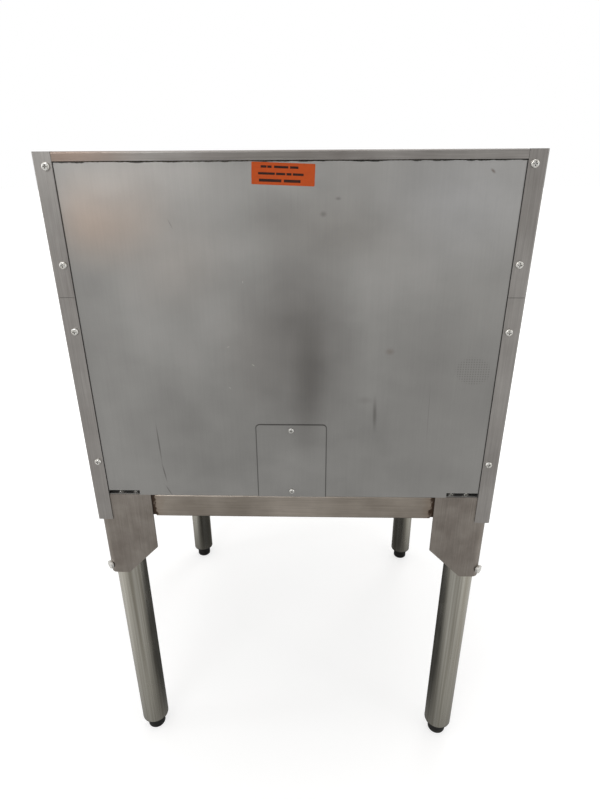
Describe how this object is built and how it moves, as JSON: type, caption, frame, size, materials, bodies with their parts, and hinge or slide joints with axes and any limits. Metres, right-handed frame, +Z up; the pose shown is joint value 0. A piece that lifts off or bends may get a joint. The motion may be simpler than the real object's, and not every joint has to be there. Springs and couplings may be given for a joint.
{
  "type": "deck oven",
  "caption": "Compact double-deck oven on a leg stand: folded steel cabinet, drop-down glazed doors, stone baking decks, control compartment and levelling feet.",
  "frame": {"origin": "on the floor, under the middle of the oven's overall box", "axes": "+Z up; -Y out of the doors, so the back panel faces +Y; +X to the right of a person facing the doors"},
  "size_m": [0.613, 0.6546, 1.032],
  "materials": {
    "brushed_stainless": "vertical brushed, satin",
    "polished_tube": "drawn tube, semi-bright",
    "zinc_sheet": "dull zinc-coated sheet",
    "aluminised_steel": "aluminised, dull",
    "zinc_fasteners": "bright zinc plate",
    "black_rubber_plastic": "moulded nylon",
    "black_plastic": "moulded thermoset",
    "green_plastic": "moulded, translucent",
    "amber_lens": "moulded lens",
    "oven_glass": "tempered glass",
    "baking_stone": "cordierite, matt",
    "element_sheath": "oxidised sheath",
    "glass_fibre_seal": "braided glass fibre",
    "mineral_wool": "mineral wool board",
    "white_ceramic": "glazed body"
  },
  "bodies": {
    "cabinet": {"leg_tube_front_left": "polished_tube", "leg_tube_front_right": "polished_tube", "leg_tube_rear_left": "polished_tube", "leg_tube_rear_right": "polished_tube", "leg_bracket_front_left": "brushed_stainless", "leg_bracket_front_right": "brushed_stainless", "leg_bracket_rear_left": "brushed_stainless", "leg_bracket_rear_right": "brushed_stainless", "leg_plugs": "black_rubber_plastic", "leg_bolts": "zinc_fasteners", "stand_rail_front": "brushed_stainless", "stand_rail_rear": "brushed_stainless", "stand_rail_left": "brushed_stainless", "stand_rail_right": "brushed_stainless", "base_pan": "zinc_sheet", "corner_posts": "zinc_sheet", "heat_shield": "zinc_sheet", "side_panel_left_lower": "brushed_stainless", "side_panel_right_lower": "brushed_stainless", "side_panel_left_upper": "brushed_stainless", "side_panel_right_upper": "brushed_stainless", "back_panel": "zinc_sheet", "access_cover": "zinc_sheet", "top_cover": "brushed_stainless", "rear_screws": "zinc_fasteners", "front_fascia": "brushed_stainless", "control_panel": "brushed_stainless", "upper_gasket": "glass_fibre_seal", "lower_gasket": "glass_fibre_seal", "upper_chamber": "aluminised_steel", "lower_chamber": "aluminised_steel", "upper_insulation": "mineral_wool", "lower_insulation": "mineral_wool", "upper_stone": "baking_stone", "lower_stone": "baking_stone", "upper_elements": "element_sheath", "lower_elements": "element_sheath", "thermostat_bodies": "white_ceramic", "rocker_housings": "black_plastic", "indicator_lamps": "amber_lens", "cable_gland": "black_plastic", "terminal_block": "white_ceramic"},
    "foot_front_left": {"foot_front_left": "black_rubber_plastic"},
    "foot_front_right": {"foot_front_right": "black_rubber_plastic"},
    "foot_rear_left": {"foot_rear_left": "black_rubber_plastic"},
    "foot_rear_right": {"foot_rear_right": "black_rubber_plastic"},
    "upper_door": {"upper_door_shell": "brushed_stainless", "upper_door_liner": "aluminised_steel", "upper_door_glass": "oven_glass", "upper_door_handle": "polished_tube", "upper_hinge_pins": "zinc_fasteners"},
    "upper_thermostat_knob": {"upper_thermostat_knob": "black_plastic"},
    "upper_power_rocker": {"upper_power_rocker": "green_plastic"},
    "lower_door": {"lower_door_shell": "brushed_stainless", "lower_door_liner": "aluminised_steel", "lower_door_glass": "oven_glass", "lower_door_handle": "polished_tube", "lower_hinge_pins": "zinc_fasteners"},
    "lower_thermostat_knob": {"lower_thermostat_knob": "black_plastic"},
    "lower_power_rocker": {"lower_power_rocker": "green_plastic"}
  },
  "joints": [
    {"name": "upper_door_hinge", "type": "hinge", "parent": "cabinet", "child": "upper_door", "pos_m": [0, -0.25135, 0.873], "axis": [1, 0, 0], "range_deg": [0, 90]},
    {"name": "lower_door_hinge", "type": "hinge", "parent": "cabinet", "child": "lower_door", "pos_m": [0, -0.25135, 0.698], "axis": [1, 0, 0], "range_deg": [0, 90]},
    {"name": "upper_thermostat_turn", "type": "hinge", "parent": "cabinet", "child": "upper_thermostat_knob", "pos_m": [-0.19, -0.23835, 0.616], "axis": [0, 1, 0], "range_deg": [0, 300]},
    {"name": "lower_thermostat_turn", "type": "hinge", "parent": "cabinet", "child": "lower_thermostat_knob", "pos_m": [0.19, -0.23835, 0.616], "axis": [0, 1, 0], "range_deg": [0, 300]},
    {"name": "upper_power_rock", "type": "hinge", "parent": "cabinet", "child": "upper_power_rocker", "pos_m": [-0.122, -0.23435, 0.616], "axis": [1, 0, 0], "range_deg": [0, 16]},
    {"name": "lower_power_rock", "type": "hinge", "parent": "cabinet", "child": "lower_power_rocker", "pos_m": [0.122, -0.23435, 0.616], "axis": [1, 0, 0], "range_deg": [0, 16]},
    {"name": "foot_front_left_screw", "type": "slide", "parent": "cabinet", "child": "foot_front_left", "axis": [0, 0, 1], "range_m": [-0.025, 0]},
    {"name": "foot_front_right_screw", "type": "slide", "parent": "cabinet", "child": "foot_front_right", "axis": [0, 0, 1], "range_m": [-0.025, 0]},
    {"name": "foot_rear_left_screw", "type": "slide", "parent": "cabinet", "child": "foot_rear_left", "axis": [0, 0, 1], "range_m": [-0.025, 0]},
    {"name": "foot_rear_right_screw", "type": "slide", "parent": "cabinet", "child": "foot_rear_right", "axis": [0, 0, 1], "range_m": [-0.025, 0]}
  ]
}
